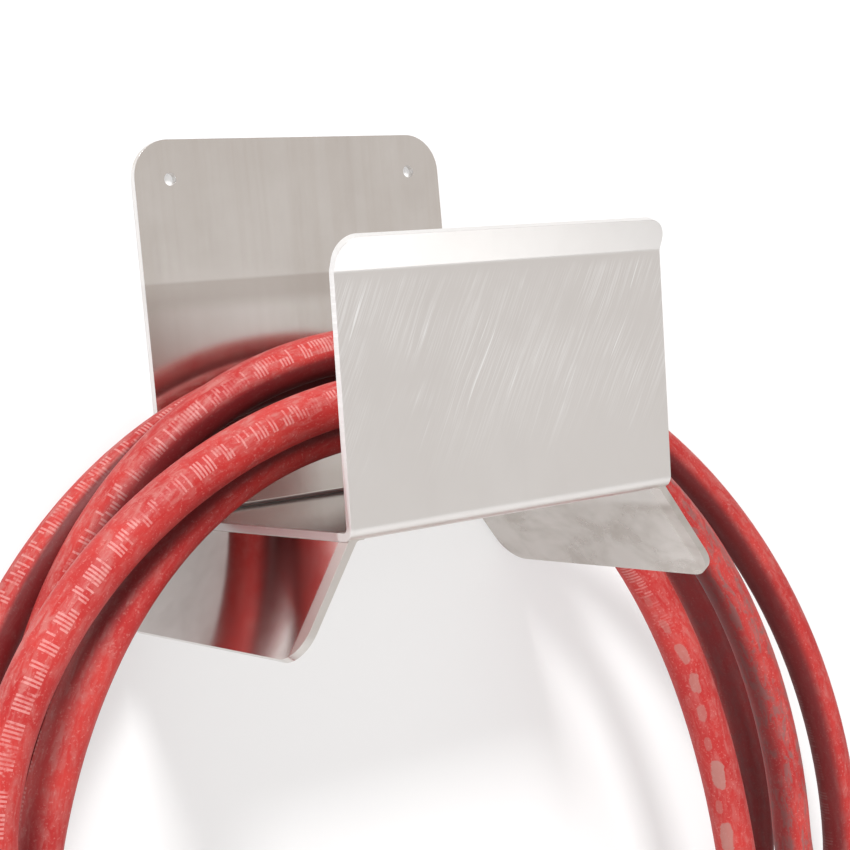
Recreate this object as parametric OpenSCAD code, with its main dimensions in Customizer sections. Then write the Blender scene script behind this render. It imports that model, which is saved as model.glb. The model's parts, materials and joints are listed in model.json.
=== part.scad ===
// Rubber air hose with a quick coupler and a swivel plug, coiled in four turns
// over a hanger bent from one stainless sheet.
// Origin: midway between the hanger's two screw holes, on the wall plane.
// +X to the right, +Y into the wall, +Z up. Units: millimetres.

/* [Hanger sheet] */
// Width of the hanger
hanger_w = 150; // [140:1:170]
// Thickness of the stainless sheet
sheet_t = 3; // [2:0.5:3]
// Height of the back plate above the shelf's top face
back_h = 152; // [145:1:165]
// Depth of the shelf, from the back plate's face to the front plate's face
shelf_depth = 132; // [125:1:140]
// Height of the front plate above the shelf's top face
front_h = 89; // [84:1:94]
// How far the front plate leans outward, in degrees
front_lean = 2.5; // [0:0.5:5]
// Length of the lip along the front plate's top
lip_len = 12; // [10:1:14]
// Further outward bend of the lip, in degrees
lip_bend = 21; // [15:1:25]
// Length of each side flange, measured from its bend
flange_len = 46; // [40:1:48]
// Side flanges' slope from the vertical, in degrees
flange_splay = 34; // [30:1:40]
// Gap between a side flange and the wall
flange_relief = 2; // [1:1:5]
// Diameter of the two screw holes
screw_hole_d = 5.3; // [4:0.1:6]
// Distance of each screw hole from the top and side edges
hole_inset = 16; // [14:1:18]

/* [Hose] */
// Outside diameter of the hose
hose_d = 18; // [17:0.5:18]
// Bore of the hose
hose_bore_d = 9.5; // [8:0.5:10]
// Length of hose gripped inside each ferrule
grip_len = 24; // [20:1:26]
// Straight length of hose above each end's fitting
straight_len = 80; // [75:5:90]

/* [Fittings] */
// Outside diameter of the crimped ferrules
ferrule_d = 22.4; // [21.5:0.1:23]
// Travel of the coupler's locking sleeve
sleeve_travel = 4; // [3:0.5:4]
// Travel of the coupler's valve
valve_travel = 3.5; // [2.5:0.5:3.5]
// Diameter of each locking ball
ball_d = 3.5; // [3.4:0.1:3.5]
// Diameter of the plug's tip
plug_tip_d = 7.9; // [7.8:0.1:8]

/* [Hidden] */
$fn = 48;

hole_spacing = hanger_w - 2 * hole_inset;
shelf_z = hole_inset - back_h;        // top face of the shelf
back_corner_r = hole_inset;
lip_corner_r = 8.5;
flange_corner_r = 12;
bend_r = 2;                           // inside radius of the sheet's bends
lip_bend_r = 3;
flange_lead = 2;                      // level part of a flange, which lies in the shelf

// The four turns, counted from the wall outwards: the crest, the widest place
// on the left and the widest place on the right, each [x, y, height over shelf],
// and after each side how full its arch is, where 2 is an ellipse.
TURNS = [
    [[6, -14, 54], [-188, -11, -145, 2], [230, -13, -190, 1.92]],
    [[6, -38, 61], [-163, -28, -130, 2.1], [262, -40, -199, 1.9]],
    [[8, -46, 31], [-176, -52, -198, 2.18], [166, -66, -235, 2.2]],
    [[0, -64, 43], [-189, -71, -106, 1.9], [215, -52, -189, 1.95]]
];
// The lowest place between one turn and the next
BOTTOMS = [[30, -20, -385], [35, -45, -400], [0, -72, -388]];
// Where each tail hangs straight, at the top of its straight length
TAIL_COUPLER = [-186, -40, -300];
TAIL_PLUG = [214, -86, -315];
CREST_STEPS = 8;                      // rings along a quarter over the crest
BOTTOM_STEPS = 3;                     // rings along a quarter below it
TAIL_STEPS = 3;

// Heights of the two hose ends, where the ferrules' inner faces lie
coupler_end_z = shelf_z + TAIL_COUPLER[2] - straight_len - grip_len;
plug_end_z = shelf_z + TAIL_PLUG[2] - straight_len - grip_len;

// Lengths along the coupler and the swivel plug, from the hose's cut end
guard_len = 46;
ferrule_lip = 2;
stem_bore_d = 6;
hex_start = 2;
hex_end = 10;
thread_end = 22;
thread_r = 6.6;
thread_clear = 0.05;
stem_hex_af = 17;
body_hex_af = 21;
body_start = 11;
body_hex_end = 24;
body_r = 10.4;
body_shoulder = 31;
body_end = 57;
barrel_r = 9;
socket_r = 5.95;
chamber_r = 5.6;
seal_r = 4.2;
seal_groove_depth = 1.2;
seal_groove_w = 1.6;
seal_groove_z = 41.8;
seat_z = 41;
socket_z = 44;
ball_z = 50;
sleeve_start = body_hex_end + sleeve_travel + 6;
sleeve_end = 55;
sleeve_r = 12.5;
sleeve_gap = 0.1;                     // slide clearance over the barrel
pocket_end = 45;
pocket_r = 10.9;
sleeve_spring_r = 9.95;
sleeve_wire_r = 0.5;
head_z = 36;                          // back of the valve's head
poppet_start = thread_end + valve_travel + 1.5;
valve_spring_r = 3.8;
valve_wire_r = 0.4;
journal_r = 5;
swivel_end = 41;
running_gap = 0.06;                   // clearance round the swivel's journal
ball_rest_r = 7.4;
BALL_ANGLES = [45, 135, 225, 315];
land_r = 9.2;                         // sleeve's land that keeps the balls in
land_end = 49.7;
cone_slope = 0.245;                   // the cone past the land lets them out
ring_groove_z = 55.05;
ring_groove_w = 1.1;
ring_groove_depth = 0.6;
ring_z = 22.5;
ring_t = 1.2;
ring_depth = 0.7;                     // groove round the swivel's journal
swivel_start = hex_end + 0.4;
swivel_r = 9;
swivel_hex_af = 19;
swivel_hex_start = 18.4;
swivel_seal_z = 13.4;
swivel_seal_w = 2;
swivel_seal_depth = 1.4;
journal_end = 28;
nipple_start = 29.5;
nipple_end = 69;

function smooth(u) = u * u * (3 - 2 * u);
function power(base, index) = base < 1e-6 ? 0 : pow(base, index);

// A point on a quarter arch: u is 0 at the side and 1 at the crest or bottom
function arch(side, top, fullness, u) = [
    top[0] + (side[0] - top[0]) * power(cos(90 * u), 2 / fullness),
    side[1] + (top[1] - side[1]) * smooth(u),
    side[2] + (top[2] - side[2]) * power(sin(90 * u), 2 / fullness)
];

// A point on a tail: u is 0 at the side of the turn and 1 where it is straight
function tail(side, end, u) = [
    side[0] + (end[0] - side[0]) * smooth(u),
    side[1] + (end[1] - side[1]) * smooth(u),
    side[2] + (end[2] - side[2]) * u
];

function below(p, drop) = [p[0], p[1], p[2] - drop];

function crest_points(turn) = [
    for (i = [0 : CREST_STEPS - 1])
        arch(turn[1], turn[0], turn[1][3], i / CREST_STEPS),
    for (i = [0 : CREST_STEPS - 1])
        arch(turn[2], turn[0], turn[2][3], 1 - i / CREST_STEPS)
];

function bottom_points(turn, next, bottom) = [
    for (i = [0 : BOTTOM_STEPS - 1]) arch(turn[2], bottom, 2, i / BOTTOM_STEPS),
    for (i = [0 : BOTTOM_STEPS - 1]) arch(next[1], bottom, 2, 1 - i / BOTTOM_STEPS)
];

last = len(TURNS) - 1;
route = [
    below(TAIL_COUPLER, straight_len),
    below(TAIL_COUPLER, straight_len / 2),
    for (i = [TAIL_STEPS : -1 : 1]) tail(TURNS[0][1], TAIL_COUPLER, i / TAIL_STEPS),
    for (k = [0 : last]) each concat(crest_points(TURNS[k]),
        k < last ? bottom_points(TURNS[k], TURNS[k + 1], BOTTOMS[k]) : []),
    for (i = [0 : TAIL_STEPS]) tail(TURNS[last][2], TAIL_PLUG, i / TAIL_STEPS),
    below(TAIL_PLUG, straight_len / 2),
    below(TAIL_PLUG, straight_len)
];

function unit(v) = v / norm(v);
function heading(path, i) =
    i == 0 || i == len(path) - 1 ? [0, 0, i == 0 ? 1 : -1]
    : unit(path[i + 1] - path[i - 1]);

// A closed tube swept along a path: an outer and an inner wall, joined at both
// ends. Every ring starts from the same side, since no heading lies along Y.
module swept_tube(path, outer_r, inner_r, sides) {
    count = len(path);
    function ring(i, r) =
        let (h = heading(path, i), u = unit(cross(h, [0, 1, 0])), v = cross(h, u))
        [for (a = [0 : sides - 1])
            path[i] + r * (cos(360 * a / sides) * u + sin(360 * a / sides) * v)];
    points = [
        for (i = [0 : count - 1]) each ring(i, outer_r),
        for (i = [0 : count - 1]) each ring(i, inner_r)
    ];
    inner = count * sides;
    top = (count - 1) * sides;
    faces = [
        for (i = [0 : count - 2], a = [0 : sides - 1])
            let (b = (a + 1) % sides, p = i * sides)
            each [[p + a, p + sides + a, p + b], [p + b, p + sides + a, p + sides + b]],
        for (i = [0 : count - 2], a = [0 : sides - 1])
            let (b = (a + 1) % sides, p = inner + i * sides)
            each [[p + a, p + b, p + sides + a], [p + b, p + sides + b, p + sides + a]],
        for (a = [0 : sides - 1])
            let (b = (a + 1) % sides)
            each [[a, b, inner + a], [b, inner + b, inner + a]],
        for (a = [0 : sides - 1])
            let (b = (a + 1) % sides)
            each [[top + a, inner + top + a, top + b],
                  [top + b, inner + top + a, inner + top + b]]
    ];
    polyhedron(points, faces);
}

// A compression spring: round wire wound in a helix, one polyhedron
module coil_spring(mean_r, wire_r, z0, z1, turns) {
    steps = 12;
    sides = 6;
    count = steps * turns + 1;
    rise = (z1 - z0 - 2 * wire_r) / (count - 1);
    points = [for (i = [0 : count - 1], a = [0 : sides - 1])
        let (angle = 360 * i / steps, r = mean_r + wire_r * cos(360 * a / sides))
        [r * cos(angle), r * sin(angle),
         z0 + wire_r + rise * i + wire_r * sin(360 * a / sides)]];
    top = (count - 1) * sides;
    polyhedron(points, [
        [for (a = [sides - 1 : -1 : 0]) a],
        for (i = [0 : count - 2], a = [0 : sides - 1])
            let (b = (a + 1) % sides, p = i * sides)
            each [[p + a, p + b, p + sides + a], [p + b, p + sides + b, p + sides + a]],
        [for (a = [0 : sides - 1]) top + a]
    ]);
}

// ---- Sheet-metal strip: straights and bends laid end to end ----
// Each step is [straight length, bend angle, inside radius]; a positive bend
// turns left. The strip's own right-hand side is the outside of the bends.
function turned(v, a) = [v[0] * cos(a) - v[1] * sin(a), v[0] * sin(a) + v[1] * cos(a)];
function left_of(v) = [-v[1], v[0]];

function strip_stations(steps, p, h, i = 0) =
    i == len(steps) ? [[p, h]]
    : let (
        corner = p + steps[i][0] * turned([1, 0], h),
        bend = steps[i][1],
        side = bend < 0 ? -1 : 1,
        mid_r = steps[i][2] + sheet_t / 2,
        centre = corner + side * mid_r * left_of(turned([1, 0], h)),
        arc = bend == 0 ? [] : [for (k = [1 : 8])
            [centre - side * mid_r * left_of(turned([1, 0], h + bend * k / 8)),
             h + bend * k / 8]]
    )
    concat([[p, h], [corner, h]], arc,
        strip_stations(steps, bend == 0 ? corner : arc[7][0], h + bend, i + 1));

module strip(steps, start, heading) {
    stations = strip_stations(steps, start, heading);
    polygon(concat(
        [for (s = stations) s[0] + sheet_t / 2 * left_of(turned([1, 0], s[1]))],
        [for (i = [len(stations) - 1 : -1 : 0])
            stations[i][0] - sheet_t / 2 * left_of(turned([1, 0], stations[i][1]))]
    ));
}

// What a rounded corner of radius r takes off a square one at the origin,
// whose sides run towards -X and -Y
module corner_waste(r, thickness) {
    translate([0, 0, -thickness / 2])
        difference() {
            translate([-r, -r, 0]) cube([r + 5, r + 5, thickness]);
            translate([-r, -r, -1]) cylinder(r = r, h = thickness + 2);
        }
}

// ---- Hanger ----
module side_flange() {
    drop = 90 - flange_splay;         // bend down from the level shelf
    arc_x = hanger_w / 2 - bend_r - sheet_t;
    start_x = arc_x - flange_lead;
    depth = shelf_depth + sheet_t - flange_relief;
    mid_r = bend_r + sheet_t / 2;
    end_x = arc_x + mid_r * sin(drop) + flange_len * cos(drop);
    end_z = shelf_z - sheet_t / 2 - mid_r * (1 - cos(drop)) - flange_len * sin(drop);
    difference() {
        translate([0, -flange_relief, 0])
            rotate([90, 0, 0])
                linear_extrude(depth)
                    strip([[flange_lead, -drop, bend_r], [flange_len, 0, 0]],
                        [start_x, shelf_z - sheet_t / 2], 0);
        for (front = [0, 1])
            translate([end_x, front ? -flange_relief - depth : -flange_relief, end_z])
                rotate([0, drop, 0])
                    mirror([0, front, 0])
                        corner_waste(flange_corner_r, 3 * sheet_t);
    }
}

module hanger() {
    steps = [
        [hole_inset - shelf_z - bend_r, -90, bend_r],
        [shelf_depth - 2 * bend_r, -90 + front_lean, bend_r],
        [front_h - bend_r, front_lean + lip_bend, lip_bend_r],
        [lip_len, 0, 0]
    ];
    start = [-sheet_t / 2, hole_inset];
    stations = strip_stations(steps, start, -90);
    lip_end = stations[len(stations) - 1];
    color([0.78, 0.76, 0.73])
    difference() {
        union() {
            translate([-hanger_w / 2, 0, 0])
                rotate([90, 0, 90])
                    linear_extrude(hanger_w) strip(steps, start, -90);
            side_flange();
            mirror([1, 0, 0]) side_flange();
        }
        for (side = [-1, 1]) {
            translate([side * hole_spacing / 2, 5, 0])
                rotate([90, 0, 0])
                    cylinder(d = screw_hole_d, h = sheet_t + 10);
            translate([side * hanger_w / 2, -sheet_t / 2, hole_inset])
                rotate([90, 0, 0])
                    mirror([side < 0 ? 1 : 0, 0, 0])
                        corner_waste(back_corner_r, 3 * sheet_t);
            translate([side * hanger_w / 2, lip_end[0][0], lip_end[0][1]])
                rotate([lip_end[1], 0, 0])
                    mirror([side < 0 ? 1 : 0, 0, 0])
                        corner_waste(lip_corner_r, 3 * sheet_t);
        }
    }
}

// ---- Hose ----
module hose() {
    color([0.61, 0.09, 0.08])
    translate([0, 0, shelf_z])
        swept_tube(route, hose_d / 2, hose_bore_d / 2, 10);
}

// Both ends are drawn from the hose's cut end, with +Z out of the hose,
// and turned to hang downwards
module at_coupler() {
    translate([TAIL_COUPLER[0], TAIL_COUPLER[1], coupler_end_z]) rotate([180, 0, 0]) children();
}

module at_plug() {
    translate([TAIL_PLUG[0], TAIL_PLUG[1], plug_end_z]) rotate([180, 0, 0]) children();
}

module tube(outer_r, inner_r, z0, z1) {
    translate([0, 0, z0])
        difference() {
            cylinder(r = outer_r, h = z1 - z0);
            translate([0, 0, -1]) cylinder(r = inner_r, h = z1 - z0 + 2);
        }
}

// A hexagon with its two ends' corners turned off
module hexagon(across_flats, z0, z1) {
    corner_r = across_flats / 2 / cos(30);
    intersection() {
        translate([0, 0, z0]) cylinder(r = corner_r, h = z1 - z0, $fn = 6);
        rotate_extrude()
            polygon([[0, z0], [across_flats / 2, z0], [corner_r, z0 + 0.6],
                     [corner_r, z1 - 0.6], [across_flats / 2, z1], [0, z1]]);
    }
}

// The hose's own last piece, squeezed between the stem's barbs and the ferrule
module hose_end() {
    color([0.61, 0.09, 0.08]) tube(hose_d / 2, hose_bore_d / 2, -grip_len, 0);
}

module bend_guard() {
    hose_r = hose_d / 2;
    collar_r = ferrule_d / 2 + 0.4;
    collar_len = 9;
    color([0.07, 0.07, 0.07])
    translate([0, 0, -grip_len - guard_len])
        rotate_extrude()
            polygon([[hose_r, 0], [hose_r + 1, 0], [hose_r + 1.5, 1],
                     [collar_r, guard_len - collar_len], [collar_r, guard_len],
                     [hose_r, guard_len]]);
}

module ferrule() {
    hose_r = hose_d / 2;
    wall_r = ferrule_d / 2;
    crimps = 3;
    crimp_pitch = grip_len / (crimps + 0.5);
    crimp_depth = 0.9;
    crimp_slope = 1.2;
    crimp_len = 4.2;
    edge = 0.6;
    lip_bore_r = 5.3;
    color([0.72, 0.55, 0.25])
    difference() {
        rotate_extrude()
            polygon(concat(
                [[hose_r, -grip_len], [wall_r - edge, -grip_len], [wall_r, -grip_len + edge]],
                [for (k = [0 : crimps - 1])
                    let (z = -grip_len + crimp_pitch * (k + 0.5))
                    each [[wall_r, z], [wall_r - crimp_depth, z + crimp_slope],
                          [wall_r - crimp_depth, z + crimp_len - crimp_slope],
                          [wall_r, z + crimp_len]]],
                [[wall_r, ferrule_lip - edge], [wall_r - edge, ferrule_lip],
                 [0, ferrule_lip], [0, 0], [hose_r, 0]]
            ));
        translate([0, 0, -1]) cylinder(r = lip_bore_r, h = ferrule_lip + 2);
    }
}

// The barbed half of a stem, with its collar; top is the stem's own outline
// past the hexagon, as [radius, height] points back to the axis
module barbed_stem(top) {
    bore_r = hose_bore_d / 2;
    collar_r = 5.2;
    barbs = 5;
    barb_h = 0.6;
    start = -grip_len + 2;
    pitch = -start / barbs;
    color([0.75, 0.60, 0.30])
    difference() {
        union() {
            rotate_extrude()
                polygon(concat(
                    [[0, start]],
                    [for (k = [0 : barbs - 1])
                        each [[bore_r - barb_h, start + k * pitch],
                              [bore_r, start + (k + 0.7) * pitch],
                              [bore_r, start + (k + 0.85) * pitch]]],
                    [[bore_r, 0], [collar_r, 0], [collar_r, hex_start + 1]],
                    top
                ));
            hexagon(stem_hex_af, hex_start, hex_end);
        }
        translate([0, 0, -grip_len]) cylinder(d = stem_bore_d, h = 80);
    }
}

module stem_for_coupler() {
    barbed_stem([[thread_r - 0.4, hex_end - 1], [thread_r - 0.4, body_start],
                 [thread_r, body_start], [thread_r, thread_end - 1],
                 [thread_r - 1, thread_end], [0, thread_end]]);
}

// The swivel's stem ends in a plain journal with a groove for its ring
module stem_for_swivel() {
    groove_r = journal_r - ring_depth;
    barbed_stem([[journal_r, hex_end - 1], [journal_r, ring_z], [groove_r, ring_z],
                 [groove_r, ring_z + ring_t], [journal_r, ring_z + ring_t],
                 [journal_r, journal_end - 0.6], [journal_r - 0.6, journal_end],
                 [0, journal_end]]);
}

// ---- Quick coupler ----
module coupler_body() {
    hole_r = ball_d / 2 + 0.1;
    groove_r = barrel_r - ring_groove_depth;
    groove_end = ring_groove_z + ring_groove_w;
    color([0.75, 0.60, 0.30])
    difference() {
        union() {
            hexagon(body_hex_af, body_start, body_hex_end);
            rotate_extrude()
                polygon([[0, body_start + 1], [body_r - 0.8, body_start + 1],
                         [body_r, body_hex_end], [body_r, body_shoulder],
                         [barrel_r, body_shoulder], [barrel_r, ring_groove_z],
                         [groove_r, ring_groove_z], [groove_r, groove_end],
                         [barrel_r, groove_end], [barrel_r, body_end - 0.4],
                         [barrel_r - 0.4, body_end], [0, body_end]]);
        }
        translate([0, 0, body_start - 1])
            cylinder(r = thread_r + thread_clear, h = thread_end + 1 - body_start);
        translate([0, 0, thread_end - 1]) cylinder(r = chamber_r, h = seat_z - thread_end + 1);
        translate([0, 0, seat_z - 1]) cylinder(r = seal_r, h = socket_z - seat_z + 2);
        translate([0, 0, seal_groove_z])
            cylinder(r = seal_r + seal_groove_depth, h = seal_groove_w);
        translate([0, 0, socket_z]) cylinder(r = socket_r, h = body_end - socket_z + 1);
        for (a = BALL_ANGLES)
            rotate([0, 0, a]) translate([0, 0, ball_z])
                rotate([0, 90, 0]) cylinder(r = hole_r, h = barrel_r + 2);
    }
}

module coupler_sleeve() {
    mouth_r = land_r + (sleeve_end - 0.5 - land_end) * cone_slope;
    slide_r = barrel_r + sleeve_gap;
    ribs = 5;
    rib_pitch = 2.6;
    rib_depth = 0.5;
    color([0.80, 0.80, 0.78])
    rotate_extrude()
        polygon(concat(
            [[pocket_r, sleeve_start], [sleeve_r - 0.8, sleeve_start],
             [sleeve_r, sleeve_start + 0.8]],
            [for (k = [0 : ribs - 1])
                let (z = sleeve_start + 4 + k * rib_pitch, r = sleeve_r - rib_depth)
                each [[sleeve_r, z], [r, z + 0.5], [r, z + 0.9], [sleeve_r, z + 1.4]]],
            [[sleeve_r, sleeve_end - 1], [sleeve_r - 1, sleeve_end],
             [mouth_r, sleeve_end], [mouth_r, sleeve_end - 0.5],
             [land_r, land_end], [slide_r, land_end - 1.2],
             [slide_r, pocket_end], [pocket_r, pocket_end]]
        ));
}

module sleeve_spring() {
    color([0.55, 0.56, 0.58])
        coil_spring(sleeve_spring_r, sleeve_wire_r, body_shoulder, pocket_end, 5);
}

// A snap ring, open at one side
module snap_ring(inner_r, outer_r, z, thickness) {
    color([0.45, 0.46, 0.48])
    difference() {
        tube(outer_r, inner_r, z, z + thickness);
        translate([0, -1, z - 1]) cube([outer_r + 1, 2, thickness + 2]);
    }
}

module locking_ball(k) {
    color([0.85, 0.86, 0.88])
    rotate([0, 0, BALL_ANGLES[k]])
        translate([ball_rest_r, 0, ball_z])
            sphere(d = ball_d);
}

module seal_ring(inner_r, outer_r, z0, z1) {
    mid_r = (inner_r + outer_r) / 2;
    half_w = (outer_r - inner_r) / 2;
    half_h = (z1 - z0) / 2;
    color([0.06, 0.06, 0.06])
    translate([0, 0, z0 + half_h])
        rotate_extrude()
            translate([mid_r, 0])
                polygon([[-half_w, -half_h / 2], [-half_w / 2, -half_h], [half_w / 2, -half_h],
                         [half_w, -half_h / 2], [half_w, half_h / 2], [half_w / 2, half_h],
                         [-half_w / 2, half_h], [-half_w, half_h / 2]]);
}

module valve_poppet() {
    guide_r = 1.6;
    head_r = 4.9;
    head_end = head_z + 2.8;
    neck_r = 2;
    nose_r = 3;
    color([0.75, 0.60, 0.30])
    rotate_extrude()
        polygon([[0, poppet_start], [guide_r, poppet_start], [guide_r, head_z],
                 [head_r, head_z], [head_r, head_end], [neck_r, head_end],
                 [neck_r, seat_z], [nose_r, seat_z + 0.6], [nose_r, seat_z + 2.4],
                 [nose_r - 0.6, socket_z], [0, socket_z]]);
}

// The valve's washer, held between its head and its nose
module valve_seal() {
    color([0.06, 0.06, 0.06]) tube(4.9, 2, head_z + 2.8, seat_z - 0.05);
}

module valve_spring() {
    color([0.55, 0.56, 0.58])
        coil_spring(valve_spring_r, valve_wire_r, thread_end, head_z, 6);
}

// ---- Swivel plug ----
module swivel_body() {
    color([0.75, 0.60, 0.30])
    difference() {
        union() {
            hexagon(swivel_hex_af, swivel_hex_start, swivel_end);
            rotate_extrude()
                polygon([[0, swivel_start], [swivel_r - 1, swivel_start],
                         [swivel_r, swivel_start + 1], [swivel_r, swivel_hex_start + 2],
                         [0, swivel_hex_start + 2]]);
        }
        translate([0, 0, swivel_start - 1]) cylinder(r = journal_r + running_gap, h = 20);
        translate([0, 0, swivel_seal_z])
            cylinder(r = journal_r + swivel_seal_depth, h = swivel_seal_w);
        translate([0, 0, ring_z - 0.3]) cylinder(r = thread_r + thread_clear, h = 40);
    }
}

module plug_nipple() {
    plug_r = socket_r - 0.05;
    groove_r = 4.6;                   // where the locking balls sit
    groove_z = swivel_end + 10;
    tip_r = plug_tip_d / 2;
    color([0.80, 0.80, 0.78])
    difference() {
        union() {
            rotate_extrude()
                polygon([[0, nipple_start], [thread_r - 1, nipple_start],
                         [thread_r, nipple_start + 1], [thread_r, swivel_end],
                         [plug_r, swivel_end + 1], [plug_r, groove_z],
                         [groove_r, groove_z + 1.3], [groove_r, groove_z + 4.7],
                         [plug_r, groove_z + 6], [plug_r, groove_z + 8],
                         [tip_r, groove_z + 10], [tip_r, nipple_end - 0.5],
                         [tip_r - 0.5, nipple_end], [0, nipple_end]]);
            hexagon(14, swivel_end, swivel_end + 6);
        }
        translate([0, 0, nipple_start - 1]) cylinder(d = stem_bore_d, h = 80);
    }
}

hanger();
hose();
at_coupler() hose_end();  // hose_end_coupler
at_plug() hose_end();  // hose_end_plug
at_coupler() bend_guard();  // bend_guard_coupler
at_plug() bend_guard();  // bend_guard_plug
at_coupler() ferrule();  // ferrule_coupler
at_plug() ferrule();  // ferrule_plug
at_coupler() stem_for_coupler();  // barbed_stem_coupler
at_plug() stem_for_swivel();  // barbed_stem_swivel
at_coupler() coupler_body();
at_coupler() coupler_sleeve();
at_coupler() sleeve_spring();
at_coupler() snap_ring(barrel_r - 0.55, 11.4, ring_groove_z + 0.05, 1);  // sleeve_ring
for (k = [0 : 3])
    at_coupler() locking_ball(k);
at_coupler() seal_ring(seal_r - 0.2, seal_r + seal_groove_depth,  // socket_seal
                           seal_groove_z, seal_groove_z + seal_groove_w);
at_coupler() valve_poppet();
at_coupler() valve_seal();
at_coupler() valve_spring();
at_plug() swivel_body();
at_plug() snap_ring(journal_r - ring_depth, journal_r + 1.2, ring_z, ring_t);  // swivel_ring
at_plug() tube(journal_r + swivel_seal_depth, journal_r + running_gap,  // swivel_seal
                   swivel_seal_z, swivel_seal_z + swivel_seal_w);
at_plug() plug_nipple();
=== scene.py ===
"""A red rubber air hose coiled over a bent stainless hanger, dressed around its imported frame."""

import json
import math

import bmesh
import bpy
import numpy as np
from mathutils import Matrix, Vector


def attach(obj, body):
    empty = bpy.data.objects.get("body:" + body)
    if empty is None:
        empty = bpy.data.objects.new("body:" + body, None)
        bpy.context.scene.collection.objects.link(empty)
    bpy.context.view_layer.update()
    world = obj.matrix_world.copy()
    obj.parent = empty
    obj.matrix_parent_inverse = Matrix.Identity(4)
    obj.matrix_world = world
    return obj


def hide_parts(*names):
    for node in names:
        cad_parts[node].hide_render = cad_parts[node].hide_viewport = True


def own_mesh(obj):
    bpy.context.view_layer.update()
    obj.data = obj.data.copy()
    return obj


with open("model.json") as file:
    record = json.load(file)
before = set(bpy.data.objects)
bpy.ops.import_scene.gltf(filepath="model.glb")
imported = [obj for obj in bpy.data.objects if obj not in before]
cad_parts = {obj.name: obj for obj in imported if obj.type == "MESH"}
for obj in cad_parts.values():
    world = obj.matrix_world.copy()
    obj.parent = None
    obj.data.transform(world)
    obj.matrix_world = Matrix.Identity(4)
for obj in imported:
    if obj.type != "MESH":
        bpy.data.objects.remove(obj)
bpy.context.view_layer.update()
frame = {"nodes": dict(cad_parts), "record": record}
scene = bpy.context.scene

# ---------------------------------------------------------------- Camera
# A short telephoto, left of the hanger and level with the middle of its plates,
# tipped five degrees to its right. Angles are in degrees and the lens in millimetres.
CAMERA_PLACE = (-0.4086, -0.6554, -0.0633)
CAMERA_YAW, CAMERA_PITCH, CAMERA_ROLL = 35.45, 3.5, 5.11
CAMERA_LENS, SENSOR_WIDTH = 76.5, 36

camera = bpy.data.objects.new("camera", bpy.data.cameras.new("camera"))
scene.collection.objects.link(camera)
scene.camera = camera
camera.data.sensor_width = SENSOR_WIDTH
camera.data.lens = CAMERA_LENS
camera.data.clip_start = 0.02
camera.matrix_world = (
    Matrix.Translation(CAMERA_PLACE)
    @ Matrix.Rotation(math.radians(-CAMERA_YAW), 4, "Z")
    @ Matrix.Rotation(math.radians(90 - CAMERA_PITCH), 4, "X")
    @ Matrix.Rotation(math.radians(-CAMERA_ROLL), 4, "Z")
)


# ---------------------------------------------------------------- Hose
# Five metres of 3/8 inch rubber hose: a black inner tube, a textile braid and a
# smooth red cover. It hangs in four turns over the hanger's shelf, wound from the
# wall outwards, and both ends hang straight down.
HOSE_D, HOSE_BORE_D = 0.018, 0.0095
GRIP_LEN = 0.024
STRAIGHT_LEN = 0.080
SHELF_Z = -0.136
RING_SPACING = 0.005

# Each turn: crest, widest place on the left and on the right, as x, y and height
# over the shelf, and after each side how full its arch is, where 2 is an ellipse.
TURNS = (
    ((0.006, -0.014, 0.054), (-0.188, -0.011, -0.145, 2), (0.230, -0.013, -0.190, 1.92)),
    ((0.006, -0.038, 0.061), (-0.163, -0.028, -0.130, 2.1), (0.262, -0.040, -0.199, 1.9)),
    ((0.008, -0.046, 0.031), (-0.176, -0.052, -0.198, 2.18), (0.166, -0.066, -0.235, 2.2)),
    ((0.000, -0.064, 0.043), (-0.189, -0.071, -0.106, 1.9), (0.215, -0.052, -0.189, 1.95)),
)
BOTTOMS = ((0.030, -0.020, -0.385), (0.035, -0.045, -0.400), (0.000, -0.072, -0.388))
TAIL_COUPLER = (-0.186, -0.040, -0.300)
TAIL_PLUG = (0.214, -0.086, -0.315)
ARCH_STEPS = 36


def smooth(u):
    return u * u * (3 - 2 * u)


def arch(side, top, fullness, u):
    """A point on a quarter arch: u is 0 at the side and 1 at the crest or bottom."""
    across = math.cos(math.pi / 2 * u) ** (2 / fullness) if u < 1 else 0.0
    up = math.sin(math.pi / 2 * u) ** (2 / fullness)
    return (
        top[0] + (side[0] - top[0]) * across,
        side[1] + (top[1] - side[1]) * smooth(u),
        side[2] + (top[2] - side[2]) * up,
    )


def tail(side, end, u):
    """A point on a tail: u is 0 at the side of the turn and 1 where it is straight."""
    return (
        side[0] + (end[0] - side[0]) * smooth(u),
        side[1] + (end[1] - side[1]) * smooth(u),
        side[2] + (end[2] - side[2]) * u,
    )


def rising(side, top, fullness):
    return [arch(side, top, fullness, i / ARCH_STEPS) for i in range(ARCH_STEPS)]


def falling(side, top, fullness):
    return [arch(side, top, fullness, 1 - i / ARCH_STEPS) for i in range(ARCH_STEPS)]


def below(place, drop):
    return (place[0], place[1], place[2] - drop)


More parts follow.
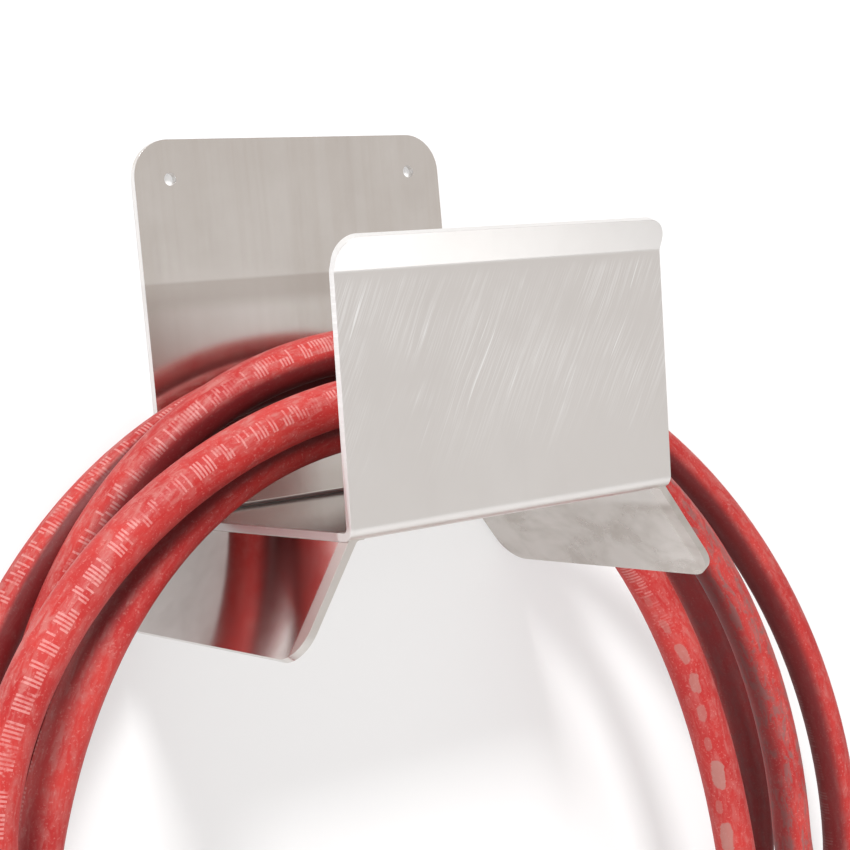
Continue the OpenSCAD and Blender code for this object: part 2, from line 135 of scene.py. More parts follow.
def hose_route():
    """The hose's centreline from its coupler end to its plug end, how far along it each
    point lies, and how far along each turn's crest lies."""
    points = [below(TAIL_COUPLER, STRAIGHT_LEN + GRIP_LEN)]
    points += [tail(TURNS[0][1], TAIL_COUPLER, 1 - i / ARCH_STEPS) for i in range(ARCH_STEPS)]
    crests = []
    for k, (crest, left, right) in enumerate(TURNS):
        points += rising(left[:3], crest, left[3])
        crests.append(len(points))
        points += falling(right[:3], crest, right[3])
        if k < len(BOTTOMS):
            points += rising(right[:3], BOTTOMS[k], 2)
            points += falling(TURNS[k + 1][1][:3], BOTTOMS[k], 2)
    points += [tail(TURNS[-1][2], TAIL_PLUG, i / ARCH_STEPS) for i in range(ARCH_STEPS + 1)]
    points += [below(TAIL_PLUG, STRAIGHT_LEN + GRIP_LEN)]
    line = np.array(points) + (0, 0, SHELF_Z)
    along = np.concatenate([[0], np.cumsum(np.linalg.norm(np.diff(line, axis=0), axis=1))])
    return line, along, [along[i] for i in crests]


def even(line, along, spacing):
    """The same line with evenly spaced points."""
    count = int(round(along[-1] / spacing)) + 1
    at = np.linspace(0, along[-1], count)
    return np.stack([np.interp(at, along, line[:, i]) for i in range(3)], 1), at


rough_line, rough_along, crest_at = hose_route()
hose_line, hose_along = even(rough_line, rough_along, RING_SPACING)

heading = np.gradient(hose_line, axis=0)
heading /= np.linalg.norm(heading, axis=1)[:, None]
# Every ring is measured round from the side that faces away from the wall.
to_front = np.array((0.0, -1.0, 0.0)) - heading * (heading @ (0.0, -1.0, 0.0))[:, None]
to_front /= np.linalg.norm(to_front, axis=1)[:, None]
to_side = np.cross(heading, to_front)

# The printed line wanders round the hose as it was coiled. Each turn says where it
# lies on its left, at its crest and on its right, in degrees from the front, and
# how far from the crest the left and right places are.
PRINT_TURNS = ((-70, -50, 160), (-30, -35, 150), (-75, -180, -330), (-15, -30, 75))
PRINT_LEFT, PRINT_RIGHT = 0.33, 0.20
print_places = []
for crest, angles in zip(crest_at, PRINT_TURNS):
    print_places += zip((crest - PRINT_LEFT, crest, crest + PRINT_RIGHT), angles)
print_angle = np.radians(np.interp(hose_along, *zip(*print_places)))


def past_crest(turn, start, end, fade=0.06):
    """1 along the hose from start to end past that turn's crest, fading to 0 outside."""
    past = hose_along - crest_at[turn]
    return np.clip((past - start) / fade + 1, 0, 1) * np.clip((end - past) / fade + 1, 0, 1)


# The third turn's print is rubbed down to pale blocks on its right side. The last
# turn is scuffed dark there and has lost its print, and the first is scuffed less.
rubbed = past_crest(2, 0.19, 0.9)
scuffed = past_crest(3, 0.15, 0.8) + 0.6 * past_crest(0, 0.1, 0.7)

SIDES = 32
ring_angles = np.linspace(0, 2 * math.pi, SIDES, endpoint=False)
outward = (np.cos(ring_angles)[None, :, None] * to_front[:, None, :]
           + np.sin(ring_angles)[None, :, None] * to_side[:, None, :])


# Painted shade: this share of nearby strands later darkens the cover's colour.
def crowded():
    """How much of what each point of the cover faces is another strand, from 0 to 1."""
    spacing = hose_along[1]
    share = np.zeros((len(hose_line), SIDES))
    for i, (middle, normals) in enumerate(zip(hose_line, outward)):
        others = hose_line[np.abs(hose_along - hose_along[i]) > 4 * HOSE_D]
        reach = others[None] - (middle + normals * HOSE_D / 2)[:, None]
        distance = np.linalg.norm(reach, axis=2)
        facing = np.clip((reach * normals[:, None]).sum(2) / distance, 0, 1)
        share[i] = (facing * HOSE_D * spacing / distance**2).sum(1) / math.pi
    return np.clip(share, 0, 1)


def tube_wall(radius):
    return (hose_line[:, None] + radius * outward).reshape(-1, 3)


def wall_faces(first, inward):
    ring = np.arange(len(hose_line) - 1)[:, None] * SIDES + first
    a = np.arange(SIDES)[None]
    b = (a + 1) % SIDES
    quads = np.stack([ring + a, ring + b, ring + SIDES + b, ring + SIDES + a], -1).reshape(-1, 4)
    return quads[:, ::-1] if inward else quads


def hose_mesh():
    """The cover's outside, the bore, and the two cut ends that join them."""
    bore = len(hose_line) * SIDES
    last = bore - SIDES
    a = np.arange(SIDES)
    b = (a + 1) % SIDES
    cut_ends = [np.stack([a, bore + a, bore + b, b], -1),
                np.stack([last + b, last + bore + b, last + bore + a, last + a], -1)]
    points = np.concatenate([tube_wall(HOSE_D / 2), tube_wall(HOSE_BORE_D / 2)])
    faces = np.concatenate([wall_faces(0, False), wall_faces(bore, True), *cut_ends])
    mesh = bpy.data.meshes.new("red_hose")
    mesh.from_pydata(points.tolist(), [], faces.tolist())
    mesh.polygons.foreach_set("use_smooth", [True] * len(mesh.polygons))
    # How far round from the printed line, as a cosine and a sine, and how far along.
    turned = ring_angles[None] - print_angle[:, None]
    along = np.broadcast_to(hose_along[:, None], turned.shape)
    place = np.stack([np.cos(turned), np.sin(turned), along], -1)
    attribute = mesh.attributes.new("hose_place", "FLOAT_VECTOR", "POINT")
    attribute.data.foreach_set("vector", np.tile(place.ravel(), 2))
    # Rubbed and scuffed are real wear; crowded carries the painted shade between strands.
    wear_and_shade = {"rubbed": np.repeat(rubbed, SIDES), "scuffed": np.repeat(scuffed, SIDES),
            "crowded": crowded().ravel()}
    for name, values in wear_and_shade.items():
        attribute = mesh.attributes.new(name, "FLOAT", "POINT")
        attribute.data.foreach_set("value", np.tile(values, 2))
    return mesh


def show(name, mesh):
    piece = bpy.data.objects.new(name, mesh)
    scene.collection.objects.link(piece)
    return piece


class Link:
    """A shader value. Sums and products written with it add their own Math nodes."""

    def __init__(self, finish, socket):
        self.finish, self.socket = finish, socket

    def math(self, operation, *others):
        return self.finish.add("Math", {"operation": operation}, [self, *others])

    def __add__(self, other):
        return self.math("ADD", other)

    def __sub__(self, other):
        return self.math("SUBTRACT", other)

    def __rsub__(self, other):
        return self.finish.add("Math", {"operation": "SUBTRACT"}, [other, self])

    def __mul__(self, other):
        return self.math("MULTIPLY", other)

    def __truediv__(self, other):
        return self.math("DIVIDE", other)

    def __gt__(self, other):
        return self.math("GREATER_THAN", other)

    def __lt__(self, other):
        return self.math("LESS_THAN", other)

    __radd__, __rmul__ = __add__, __mul__

    def step(self, low, high, start=0.0, end=1.0):
        """Smoothly from start at low to end at high."""
        return self.finish.add(
            "MapRange", {"interpolation_type": "SMOOTHSTEP"}, [self, low, high, start, end]
        )


SOCKET_NAMES = {
    "base_color": "Base Color", "metallic": "Metallic", "roughness": "Roughness",
    "normal": "Normal", "specular": "Specular IOR Level",
    "emission_color": "Emission Color", "emission_strength": "Emission Strength",
}


class Finish:
    """A material under construction: its Principled shader and the nodes that feed it."""

    def __init__(self, name, **constants):
        self.material = bpy.data.materials.new(name)
        self.material.use_nodes = True
        self.nodes = self.material.node_tree.nodes
        self.shader = self.nodes["Principled BSDF"]
        self.set(**constants)

    def plug(self, socket, value):
        if isinstance(value, Link):
            self.material.node_tree.links.new(socket, value.socket)
        elif value is not None:
            if socket.type == "RGBA" and len(value) == 3:
                value = (*value, 1)
            socket.default_value = value

    def add(self, kind, settings=None, values=(), output=0):
        """A node of that kind, with its settings, then its sockets' values or links."""
        node = self.nodes.new("ShaderNode" + kind)
        for key, value in (settings or {}).items():
            setattr(node, key, value)
        pairs = values.items() if isinstance(values, dict) else enumerate(values)
        for key, value in pairs:
            self.plug(node.inputs[key], value)
        return Link(self, node.outputs[output])

    def set(self, **sockets):
        """Values or links for the Principled shader, such as base_color or roughness."""
        for key, value in sockets.items():
            self.plug(self.shader.inputs[SOCKET_NAMES[key]], value)

    def blend(self, share, first, second):
        """A colour between two colours."""
        values = {0: share, 6: first, 7: second}
        return self.add("Mix", {"data_type": "RGBA"}, values, output=2)

    def place(self):
        """The point's own place on the object, in metres."""
        return self.add("TexCoord", output=3)

    def apart(self, vector):
        """A vector's x, y and z."""
        split = self.add("SeparateXYZ", values=[vector])
        node = split.socket.node
        return [Link(self, node.outputs[i]) for i in range(3)]

    def stretched(self, vector, scale):
        return self.add("VectorMath", {"operation": "MULTIPLY"}, [vector, scale])

    def noise(self, vector, scale, detail=3.0, roughness=0.5, distortion=0.0):
        values = {"Vector": vector, "Scale": scale, "Detail": detail,
                  "Roughness": roughness, "Distortion": distortion}
        return self.add("TexNoise", {}, values)

    def bump(self, height, strength, distance):
        """Raises the surface by height times distance, in metres."""
        values = {"Strength": strength, "Distance": distance, "Height": height}
        self.set(normal=self.add("Bump", {}, values))


# A mark's pitch and height, the share of the pitch that a stroke fills, marks to a
# group, the share of a group that is printed, and the share of marks left out.
MARK_PITCH, MARK_HEIGHT, STROKE_SHARE = 0.00150, 0.0068, 0.54
GROUP_MARKS, GROUP_SHARE, BLANK_SHARE = 14, 0.86, 0.27


def printed_marks(f, across, along):
    """Upright strokes, full or half height, in groups like a ruler's. They spell nothing."""
    cell = along / MARK_PITCH
    half = across.step(-0.0001, 0.0001)
    seat = f.add("CombineXYZ", {}, [cell.math("FLOOR"), half, 0.5])
    chance = f.add("TexWhiteNoise", {"noise_dimensions": "3D"}, {"Vector": seat}, output=0)
    stroke = (cell.math("FRACT") - 0.5).math("ABSOLUTE") < STROKE_SHARE / 2
    on_line = across.math("ABSOLUTE") < MARK_HEIGHT / 2
    group_gap = (cell / GROUP_MARKS + 0.01).math("FRACT") > GROUP_SHARE
    return (chance > BLANK_SHARE) * stroke * on_line * (1 - group_gap)


BLOCK_PITCH, BLOCK_HALF_WIDTH = 0.0150, 0.0016


def pale_blocks(f, across, along):
    """What rubbing leaves of the print: pale blocks in a row with worn edges. A block's
    size, from 0 to 1, makes it longer, wider and bolder and moves it off the line."""
    cell = along / BLOCK_PITCH
    size = f.add("TexWhiteNoise", {"noise_dimensions": "1D"},
                 {"W": cell.math("FLOOR") + 0.5}, output=0)
    edge = f.noise(f.place(), 150, 5, 0.7)
    long_way = (cell.math("FRACT") - 0.5).math("ABSOLUTE") / (0.22 + size * 0.26)
    off_line = across + size * 0.0018 - 0.0009
    wide_way = off_line.math("ABSOLUTE") / (BLOCK_HALF_WIDTH + size * BLOCK_HALF_WIDTH)
    block = (long_way.math("POWER", 3.0) + wide_way.math("POWER", 3.0) + edge * 4.4).step(3.35, 2.85)
    return block * (0.45 + size * 0.55)


DEEP_RED, BRIGHT_RED, DULL_RED = (0.40, 0.020, 0.019), (0.50, 0.038, 0.032), (0.40, 0.026, 0.026)
BLOOM_AND_TOP_LIGHT, PALE_GRIT, DARK_SCUFF = (0.50, 0.19, 0.17), (0.66, 0.30, 0.27), (0.23, 0.105, 0.100)
INK, RUBBED_INK, PAINTED_CREVICE_SHADE = (0.70, 0.36, 0.34), (0.38, 0.20, 0.175), (0.070, 0.005, 0.007)


def red_rubber():
    """Red cover with a dusty bloom that is painted lighter on top, dark scuffs, a worn line of pale
    printed marks, and painted shade where strands lie close.
    """
    f = Finish("red_rubber_cover", specular=0.28)
    cos_round, sin_round, along = f.apart(
        f.add("Attribute", {"attribute_name": "hose_place"}, output=1))
    rubbed_here = f.add("Attribute", {"attribute_name": "rubbed"}, output=2)
    scuffed_here = f.add("Attribute", {"attribute_name": "scuffed"}, output=2)
    crowded_here = f.add("Attribute", {"attribute_name": "crowded"}, output=2)
    across = sin_round.math("ARCTAN2", cos_round) * (HOSE_D / 2)
    place = f.place()
    cloud = f.noise(place, 26, 4, 0.55)
    mottle = f.noise(place, 150, 4, 0.65)
    grit = f.noise(place, 900, 3, 0.6)
    upward = f.apart(f.add("TexCoord", output=1))[2]
    lengthwise = f.add("CombineXYZ", {}, [cos_round * 2.2, sin_round * 2.2, along * 70])
    streak = f.noise(lengthwise, 1.5, 5, 0.65, 0.5)

    colour = f.blend(cloud.step(0.35, 0.68), DEEP_RED, BRIGHT_RED)
    colour = f.blend(mottle.step(0.42, 0.62) * 0.3, colour, DULL_RED)
    # Stronger on each strand's upward-facing side: the paler tops are partly real dust and partly painted
    # light from above.
    bloom_and_top_light = streak.step(0.40, 0.66) * mottle.step(0.30, 0.60) * upward.step(-0.5, 0.7, 0.35, 1.0)
    colour = f.blend(bloom_and_top_light * 0.65, colour, BLOOM_AND_TOP_LIGHT)
    colour = f.blend(grit.step(0.56, 0.70) * 0.3, colour, PALE_GRIT)

    smudged = f.add("CombineXYZ", {}, [cos_round * 1.3, sin_round * 1.3, along * 38])
    scuff = f.noise(smudged, 1.6, 5, 0.72, 0.8)
    scuff = scuff.step(0.46, 0.58) * mottle.step(0.34, 0.54) * scuffed_here
    colour = f.blend(scuff * 0.8, colour, DARK_SCUFF)

    worn = (f.noise(place, 520, 3, 0.7).step(0.30, 0.50, 0.35, 1.0)
            * f.noise(place, 60, 3, 0.6).step(0.34, 0.50, 0.15, 1.0))
    ink = printed_marks(f, across, along) * worn * (1 - rubbed_here) * (1 - scuffed_here)
    blocks = pale_blocks(f, across, along) * rubbed_here
    colour = f.blend(ink * 0.5, colour, INK)
    colour = f.blend(blocks * 0.75, colour, RUBBED_INK)
    # Painted shade: the cover darkens where strands lie close together and shade each other.
    colour = f.blend(crowded_here.step(0.15, 0.52) * 0.8, colour, PAINTED_CREVICE_SHADE)
    f.set(base_color=colour, roughness=0.46 + mottle * 0.14 + blocks * 0.1)
    f.bump(mottle * 0.5 + grit * 0.2 + streak * 0.3, 0.35, 0.0003)
    return f.material


red_hose = show("red_hose", hose_mesh())
red_hose.data.materials.append(red_rubber())
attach(red_hose, "hose_on_hanger")
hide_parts("hose", "hose_end_coupler", "hose_end_plug")


# ---------------------------------------------------------------- Hanger
# One 3 mm stainless sheet, cut, drilled and bent: back plate, shelf, leaning front
# plate with a lip, and two side flanges that the hose lies over.
EDGE_ROUND = 0.00035


def rounded_sheet(node):
    """A copy of the bent sheet with its flat faces merged and its cut edges broken."""
    shape = bmesh.new()
    shape.from_mesh(frame["nodes"][node].data)
    bmesh.ops.remove_doubles(shape, verts=shape.verts, dist=1e-6)
    bmesh.ops.dissolve_limit(shape, angle_limit=math.radians(0.6), verts=shape.verts,
                             edges=shape.edges)
    sharp = [e for e in shape.edges
             if len(e.link_faces) == 2 and e.calc_face_angle() > math.radians(40)]
    bmesh.ops.bevel(shape, geom=sharp, offset=EDGE_ROUND, segments=2, profile=0.6,
                    affect="EDGES", clamp_overlap=True)
    bmesh.ops.triangulate(shape, faces=[f for f in shape.faces if len(f.verts) > 4])
    mesh = bpy.data.meshes.new(node + "_sheet")
    shape.to_mesh(mesh)
    shape.free()
    mesh.polygons.foreach_set("use_smooth", [True] * len(mesh.polygons))
    return mesh


# Where the flanges start, the back plate's face, the front plate, its lower bend and
# its lip, and the low and high side of a painted reflection: a darker band across the back plate.
FLANGE_X, BACK_Y, FRONT_Y = 0.0745, -0.006, -0.1365
BEND_Y, BEND_Z, LIP_Z = -0.128, -0.1355, -0.053
REFLECTION_BAND_LOW, REFLECTION_BAND_TOP = -0.056, -0.041
# The front plate's scratches lean, and fade in upwards between two heights.
SCRATCH_LEAN = math.radians(27)
SCRATCH_LOW, SCRATCH_FULL = -0.128, -0.078

STEEL, PALE_STEEL = (0.64, 0.605, 0.575), (0.70, 0.67, 0.645)
SMEARED, STREAKED, PAINTED_REFLECTION_BAND = (0.56, 0.52, 0.49), (0.58, 0.53, 0.49), (0.43, 0.38, 0.345)
DULLED, STAINED = (0.50, 0.46, 0.425), (0.40, 0.36, 0.325)
HANDLED, CUT, SCRATCHED = (0.82, 0.81, 0.805), (0.86, 0.86, 0.86), (0.97, 0.97, 0.97)


def stainless():
    """Mill-finished stainless: near-mirror on the shelf and left flange, streaked on the
    back plate with a painted dark reflection band, stained on the right flange, and finely scratched on
    the front plate."""
    f = Finish("stainless_sheet", metallic=1.0)
    place = f.place()
    x, y, z = f.apart(place)
    front = y.step(FRONT_Y, FRONT_Y - 0.001)
    back = y.step(BACK_Y, BACK_Y + 0.003)
    cloud = f.noise(place, 16, 4, 0.6)
    smear = f.noise(f.stretched(place, (55, 55, 14)), 1.0, 4, 0.6, 0.4)
    brushed = f.noise(f.stretched(place, (700, 700, 6)), 1.0, 3, 0.6)
    bent = f.noise(place, 9, 2, 0.5) * 0.012
    across = x * math.cos(SCRATCH_LEAN) - z * math.sin(SCRATCH_LEAN) + bent
    along = x * math.sin(SCRATCH_LEAN) + z * math.cos(SCRATCH_LEAN)
    thin_lines = f.add("CombineXYZ", {}, [across * 1900, along * 26, y * 40])
    thick_lines = f.add("CombineXYZ", {}, [across * 800, along * 17, y * 40 + 7.0])
    fine = f.noise(thin_lines, 1.0, 3, 0.7)
    deep = f.noise(thick_lines, 1.0, 2, 0.6)
    patch = f.noise(place, 24, 3, 0.6).step(0.34, 0.58)
    high = z.step(SCRATCH_LOW, SCRATCH_FULL) * (1 - z.step(LIP_Z, LIP_Z + 0.006))
    scratches = (fine.step(0.46, 0.64) * 0.6 + deep.step(0.65, 0.70)) * patch * high * front
    cut_edge = f.apart(f.add("TexCoord", output=1))[0].math("ABSOLUTE").step(0.90, 0.97)
    left_flange = 1 - x.step(-FLANGE_X - 0.003, -FLANGE_X)
    right_flange = x.step(FLANGE_X, FLANGE_X + 0.003)
    stain = f.noise(f.stretched(place, (22, 34, 60)), 1.0, 3, 0.6, 0.3).step(0.38, 0.72)
    stain = stain * (right_flange + left_flange * 0.3)
    rubbed_bend = (1 - z.step(BEND_Z - 0.001, BEND_Z + 0.002)) * y.step(BEND_Y, BEND_Y - 0.002)
    # Painted reflection: a darker band across the back plate.
    reflection_band = z.step(REFLECTION_BAND_LOW, REFLECTION_BAND_LOW + 0.008) * (1 - z.step(REFLECTION_BAND_TOP - 0.0015, REFLECTION_BAND_TOP)) * back
    streaks = f.noise(f.stretched(place, (150, 150, 5)), 1.0, 3, 0.6) * back

    roughness = (0.07 + cloud * 0.05 + smear * 0.04 + brushed * 0.04
                 + back * 0.04 + front * 0.18 + scratches * 0.12 + cut_edge * 0.3
                 + stain * 0.1 + right_flange * 0.08 + rubbed_bend * 0.25)
    colour = f.blend(cloud.step(0.3, 0.7), STEEL, PALE_STEEL)
    colour = f.blend(smear.step(0.5, 0.75) * 0.25, colour, SMEARED)
    colour = f.blend(streaks.step(0.40, 0.66) * 0.22, colour, STREAKED)
    colour = f.blend(reflection_band * 0.5, colour, PAINTED_REFLECTION_BAND)
    colour = f.blend(right_flange * 0.4, colour, DULLED)
    colour = f.blend(stain * 0.7, colour, STAINED)
    colour = f.blend(front * 0.6, colour, HANDLED)
    colour = f.blend(cut_edge * 0.6, colour, CUT)
    colour = f.blend(scratches * 0.8, colour, SCRATCHED)
    f.set(base_color=colour, roughness=roughness)
    f.bump(scratches * -1.0 + smear * 0.3, 0.15, 0.00006)
    return f.material


hanger = show("hanger_sheet", rounded_sheet("hanger"))
hanger.data.materials.append(stainless())
weighted = hanger.modifiers.new("flat_faces", "WEIGHTED_NORMAL")
weighted.keep_sharp = True
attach(hanger, "hose_on_hanger")
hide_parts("hanger")


# ---------------------------------------------------------------- Bend guards
# Moulded black rubber sleeves with open ribs, which keep the hose from kinking where
# it leaves each ferrule. They are pushed over the hose and butt against the ferrule.
COUPLER_CUT, PLUG_CUT = hose_line[0], hose_line[-1]
GUARD_START, GUARD_END = -0.070, -0.024
GUARD_IN_R, GUARD_TOP_R, GUARD_R = 0.00906, 0.0101, 0.0116
GUARD_RIBS, FIRST_RIB, RIB_PITCH = 6, 0.003, 0.0048
RIB_GROOVE, RIB_GAP, RIB_SLOPE = 0.0009, 0.0024, 0.0005
COLLAR_LEN, RIM_IN, RIM_DOWN = 0.009, 0.0005, 0.0006


def turned(name, cut_end, outline, sides=72, shape=None, crease=35):
    """A piece turned round the vertical axis of a hose end. The outline is a closed
    list of radius and distance past the hose's cut end; shape may change a radius."""
    points, faces = [], []
    for radius, past in outline:
        for k in range(sides):
            angle = 2 * math.pi * k / sides
            r = shape(radius, past, angle) if shape else radius
            points.append((cut_end[0] + r * math.cos(angle), cut_end[1] + r * math.sin(angle),
                           cut_end[2] - past))
    count = len(outline)
    for i in range(count):
        for k in range(sides):
            a, b = i * sides + k, i * sides + (k + 1) % sides
            c, d = (i + 1) % count * sides + (k + 1) % sides, (i + 1) % count * sides + k
            faces.append((a, b, c, d))
    mesh = bpy.data.meshes.new(name)
    mesh.from_pydata(points, [], faces)
    shell = bmesh.new()
    shell.from_mesh(mesh)
    bmesh.ops.recalc_face_normals(shell, faces=shell.faces)
    shell.to_mesh(mesh)
    shell.free()
    mesh.polygons.foreach_set("use_smooth", [True] * len(mesh.polygons))
    mesh.set_sharp_from_angle(angle=math.radians(crease))
    return show(name, mesh)


def guard_outline():
    """From the bore round the thin end, along the ribs to the collar at the ferrule."""
    outline = [(GUARD_IN_R, GUARD_END), (GUARD_IN_R, GUARD_START),
               (GUARD_TOP_R - RIM_IN, GUARD_START), (GUARD_TOP_R, GUARD_START + RIM_DOWN)]
    for k in range(GUARD_RIBS):
        past = GUARD_START + FIRST_RIB + k * RIB_PITCH
        radius = GUARD_TOP_R + (GUARD_R - GUARD_TOP_R) * (k + 0.5) / GUARD_RIBS
        outline += [(radius, past), (radius - RIB_GROOVE, past + RIB_SLOPE),
                    (radius - RIB_GROOVE, past + RIB_GAP - RIB_SLOPE), (radius, past + RIB_GAP)]
    return outline + [(GUARD_R, GUARD_END - COLLAR_LEN), (GUARD_R, GUARD_END - RIM_DOWN),
                      (GUARD_R - RIM_DOWN, GUARD_END)]


CLEAN_BLACK, DUSTY_BLACK = (0.014, 0.014, 0.015), (0.06, 0.057, 0.054)


def black_rubber():
    """Moulded black rubber with a fine matt skin and patches of dust."""
    f = Finish("black_rubber", specular=0.35)
    place = f.place()
    skin = f.noise(place, 900, 3, 0.6)
    dust = f.noise(place, 70, 4, 0.6)
    f.set(base_color=f.blend(dust.step(0.45, 0.75) * 0.6, CLEAN_BLACK, DUSTY_BLACK),
          roughness=0.5 + dust * 0.25)
    f.bump(skin, 0.35, 0.00008)
    return f.material


rubber = black_rubber()
for end, cut_end in (("coupler", COUPLER_CUT), ("plug", PLUG_CUT)):
    guard = turned("bend_guard_" + end + "_ribbed", cut_end, guard_outline())
    guard.data.materials.append(rubber)
    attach(guard, "hose_on_hanger")
    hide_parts("bend_guard_" + end)


# ---------------------------------------------------------------- Locking sleeve
# The coupler's nickel-plated brass sleeve, turned and diamond knurled so that a
# gloved hand can draw it back. It slides on the body over its spring and the balls.
SLEEVE_START, SLEEVE_END, SLEEVE_R = 0.034, 0.055, 0.0125
KNURL_START, KNURL_END = 0.0385, 0.0500
KNURL_DEPTH, KNURL_TEETH, KNURL_ROWS = 0.00028, 36, 44
# Turned grooves beside the knurl: far side, near side, slope of the far wall, depth
GROOVE_FAR, GROOVE_NEAR, GROOVE_SLOPE, GROOVE_DEPTH = 0.0014, 0.0004, 0.0002, 0.0005
POCKET_R, POCKET_END, SLIDE_R = 0.0109, 0.045, 0.0091
LAND_R, LAND_END, LAND_SLOPE = 0.0092, 0.0497, 0.0012
MOUTH_R, MOUTH_STEP = 0.010376, 0.0005
BACK_BEVEL, MOUTH_BEVEL = 0.0008, 0.0010


def turned_metal(name, dark, light, roughness):
    """Turned metal: fine tool lines round the axis and a little tarnish."""
    f = Finish(name, metallic=1.0)
    place = f.place()
    tool = f.noise(f.stretched(place, (60, 60, 5200)), 1.0, 2, 0.5)
    tarnish = f.noise(place, 110, 4, 0.6)
    f.set(base_color=f.blend(tarnish.step(0.42, 0.75) * 0.7, light, dark),
          roughness=roughness + tarnish * 0.15 + tool * 0.06)
    f.bump(tool, 0.3, 0.00003)
    return f.material


def knurl(radius, past, angle):
    """Two crossed sets of teeth round the sleeve's grip."""
    if radius < SLEEVE_R or not KNURL_START < past < KNURL_END:
        return radius
    climb = (past - KNURL_START) / SLEEVE_R
    crossed = abs(math.sin(KNURL_TEETH * (angle + climb))) + abs(math.sin(KNURL_TEETH * (angle - climb)))
    return radius - KNURL_DEPTH * (1 - crossed / 2)


def sleeve_outline():
    """From the spring pocket over the back, knurl and mouth to the land that holds the balls."""
    rows = [KNURL_START + (KNURL_END - KNURL_START) * k / KNURL_ROWS for k in range(KNURL_ROWS + 1)]
    low = SLEEVE_R - GROOVE_DEPTH
    return [
        (POCKET_R, SLEEVE_START), (SLEEVE_R - BACK_BEVEL, SLEEVE_START),
        (SLEEVE_R, SLEEVE_START + BACK_BEVEL), (SLEEVE_R, KNURL_START - GROOVE_FAR),
        (low, KNURL_START - GROOVE_FAR + GROOVE_SLOPE), (low, KNURL_START - GROOVE_NEAR),
        *((SLEEVE_R, past) for past in rows),
        (low, KNURL_END + GROOVE_NEAR), (low, KNURL_END + GROOVE_FAR - GROOVE_SLOPE),
        (SLEEVE_R, KNURL_END + GROOVE_FAR),
        (SLEEVE_R, SLEEVE_END - MOUTH_BEVEL), (SLEEVE_R - MOUTH_BEVEL, SLEEVE_END), (MOUTH_R, SLEEVE_END),
        (MOUTH_R, SLEEVE_END - MOUTH_STEP), (LAND_R, LAND_END), (SLIDE_R, LAND_END - LAND_SLOPE),
        (SLIDE_R, POCKET_END), (POCKET_R, POCKET_END),
    ]


nickel = turned_metal("nickel_plate", (0.50, 0.49, 0.46), (0.70, 0.69, 0.66), 0.16)
sleeve = turned("knurled_sleeve", COUPLER_CUT, sleeve_outline(), 288, knurl, 50)
sleeve.data.materials.append(nickel)
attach(sleeve, "locking_sleeve")
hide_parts("coupler_sleeve")


# ---------------------------------------------------------------- Springs
# Two compression springs of drawn steel wire with closed ends: one pushes the sleeve
# over the balls, the other holds the valve shut.
def closed_spring(name, cut_end, coil_r, wire_r, start, end, turns):
    """Round wire in a helix. Its first and last coils are closed: each climbs only one
    thickness of wire."""
    steps, sides = 28, 10
    count = steps * turns
    open_coils = turns - 2
    points, faces = [], []
    for i in range(count + 1):
        coil = i / count * turns
        climb = min(max((coil - 1) / open_coils, 0), 1)
        closed = 2 * wire_r * (min(coil, 1) + max(coil - turns + 1, 0))
        past = start + wire_r + closed + (end - start - 6 * wire_r) * climb
        angle = 2 * math.pi * coil
        for k in range(sides):
            round_wire = 2 * math.pi * k / sides
            r = coil_r + wire_r * math.cos(round_wire)
            points.append((cut_end[0] + r * math.cos(angle), cut_end[1] + r * math.sin(angle),
                           cut_end[2] - past - wire_r * math.sin(round_wire)))
    for i in range(count):
        for k in range(sides):
            a, b = i * sides + k, i * sides + (k + 1) % sides
            faces.append((a, b, b + sides, a + sides))
    faces.append(tuple(reversed(range(sides))))
    faces.append(tuple(count * sides + k for k in range(sides)))
    mesh = bpy.data.meshes.new(name)
    mesh.from_pydata(points, [], faces)
    mesh.polygons.foreach_set("use_smooth", [True] * len(mesh.polygons))
    return show(name, mesh)


steel_wire = turned_metal("drawn_spring_wire", (0.20, 0.20, 0.21), (0.42, 0.42, 0.43), 0.28)
# Node, joint, coil radius, wire radius, start and end past the cut, coils, joint's travel
SPRINGS = (
    ("sleeve_spring", "sleeve_slide", 0.00995, 0.0005, 0.031, 0.045, 5, 0.004),
    ("valve_spring", "valve_push", 0.0038, 0.0004, 0.022, 0.036, 6, 0.0035),
)
for node, joint, coil_r, wire_r, start, end, turns, travel in SPRINGS:
    spring = closed_spring("closed_" + node, COUPLER_CUT, coil_r, wire_r, start, end, turns)
    spring.data.materials.append(steel_wire)
    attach(spring, "hose_on_hanger")
    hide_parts(node)
    1 - travel / (end - start)
    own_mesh(spring)


# ---------------------------------------------------------------- Other fittings
# Turned brass stems, coupler body and swivel, pressed ferrules, a plated plug, steel
# balls and snap rings, and rubber seals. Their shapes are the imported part's own.
FINISHES = {
    "brass": turned_metal("turned_brass", (0.42, 0.27, 0.09), (0.78, 0.56, 0.24), 0.20),
    "crimped_brass": turned_metal("pressed_brass", (0.40, 0.26, 0.10), (0.72, 0.53, 0.25), 0.28),
    "plated_steel": nickel,
    "spring_steel": steel_wire,
    "ball_steel": turned_metal("ball_steel", (0.60, 0.60, 0.61), (0.78, 0.78, 0.79), 0.08),
    "black_rubber": rubber,
}
for row in frame["record"]["subparts"]:
    if row["material_slot"] in FINISHES:
        piece = frame["nodes"][row["node"]]
        piece.data.materials.clear()
        piece.data.materials.append(FINISHES[row["material_slot"]])


# ---------------------------------------------------------------- Room
# A pale wall that is seen from its front only, a pale floor, a soft light above the
# front, two dim cards that the steel reflects, and one that lights the left strands.
WALL_Y, FLOOR_Z, ROOM = 0.0006, -1.15, 4.0


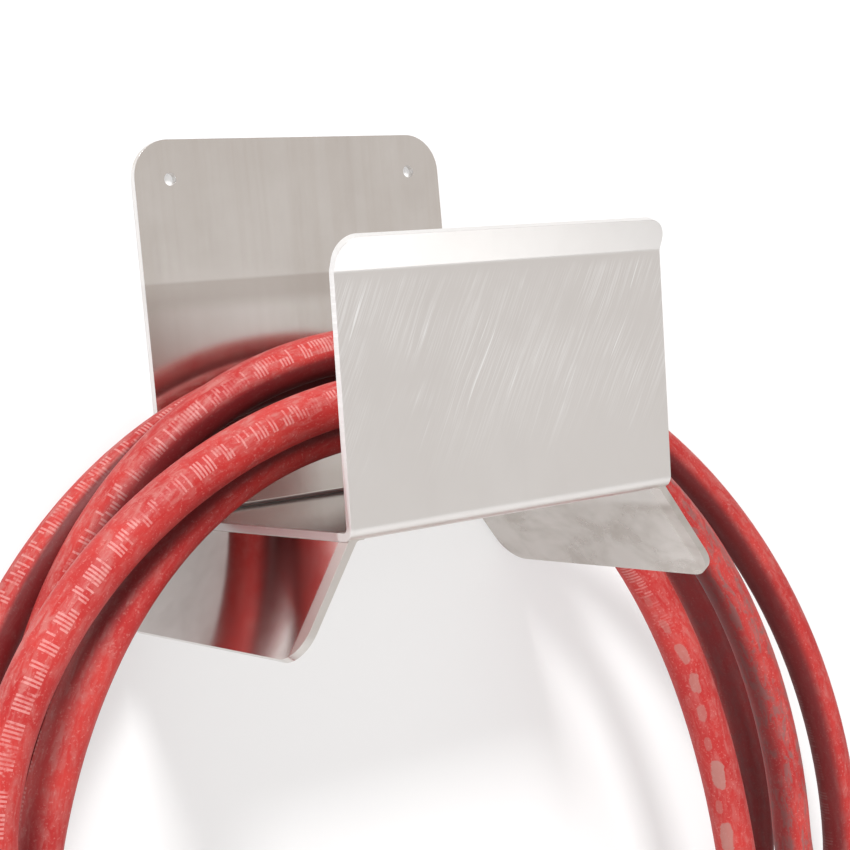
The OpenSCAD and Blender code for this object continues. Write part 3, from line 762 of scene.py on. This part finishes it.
def pale_plane(name, corners, grey, glow, one_sided=False):
    mesh = bpy.data.meshes.new(name)
    mesh.from_pydata(corners, [], [(0, 1, 2, 3)])
    plane = show(name, mesh)
    f = Finish(name, base_color=(grey, grey, grey), roughness=0.9, specular=0.1,
               emission_color=(1, 1, 1), emission_strength=glow)
    if one_sided:
        clear = f.add("BsdfTransparent")
        behind = f.add("NewGeometry", output=6)
        solid = Link(f, f.shader.outputs[0])
        f.plug(f.nodes["Material Output"].inputs["Surface"],
               f.add("MixShader", {}, [behind, solid, clear]))
    mesh.materials.append(f.material)
    return plane


wall = pale_plane("wall", [(-ROOM, WALL_Y, FLOOR_Z), (ROOM, WALL_Y, FLOOR_Z),
                           (ROOM, WALL_Y, ROOM), (-ROOM, WALL_Y, ROOM)], 0.52, 0.43, one_sided=True)
wall.visible_shadow = False
pale_plane("floor", [(-ROOM, -ROOM, FLOOR_Z), (ROOM, -ROOM, FLOOR_Z),
                     (ROOM, ROOM, FLOOR_Z), (-ROOM, ROOM, FLOOR_Z)], 0.70, 0.1)


def soft_light(name, place, target, size, watts, tint=(1, 1, 1)):
    light = bpy.data.lights.new(name, "AREA")
    light.size = size
    light.energy = watts
    light.color = tint
    lamp = show(name, light)
    lamp.location = place
    lamp.rotation_euler = (Vector(target) - Vector(place)).to_track_quat("-Z", "Y").to_euler()


MIDDLE = (0.0, -0.06, -0.12)
soft_light("key", (-0.35, -1.50, 1.30), MIDDLE, 0.4, 42)
soft_light("left_card", (-1.25, -0.95, -0.60), MIDDLE, 1.0, 9.0)
soft_light("room_card", (1.15, -1.65, -0.10), MIDDLE, 1.7, 4.0, (1.0, 0.95, 0.91))
soft_light("low_card", (0.55, -0.72, -0.85), MIDDLE, 0.5, 0.75)

world = bpy.data.worlds.new("studio")
world.use_nodes = True
world.node_tree.nodes["Background"].inputs["Color"].default_value = (1.0, 0.97, 0.95, 1)
world.node_tree.nodes["Background"].inputs["Strength"].default_value = 0.36
scene.world = world
scene.view_settings.view_transform = "Standard"
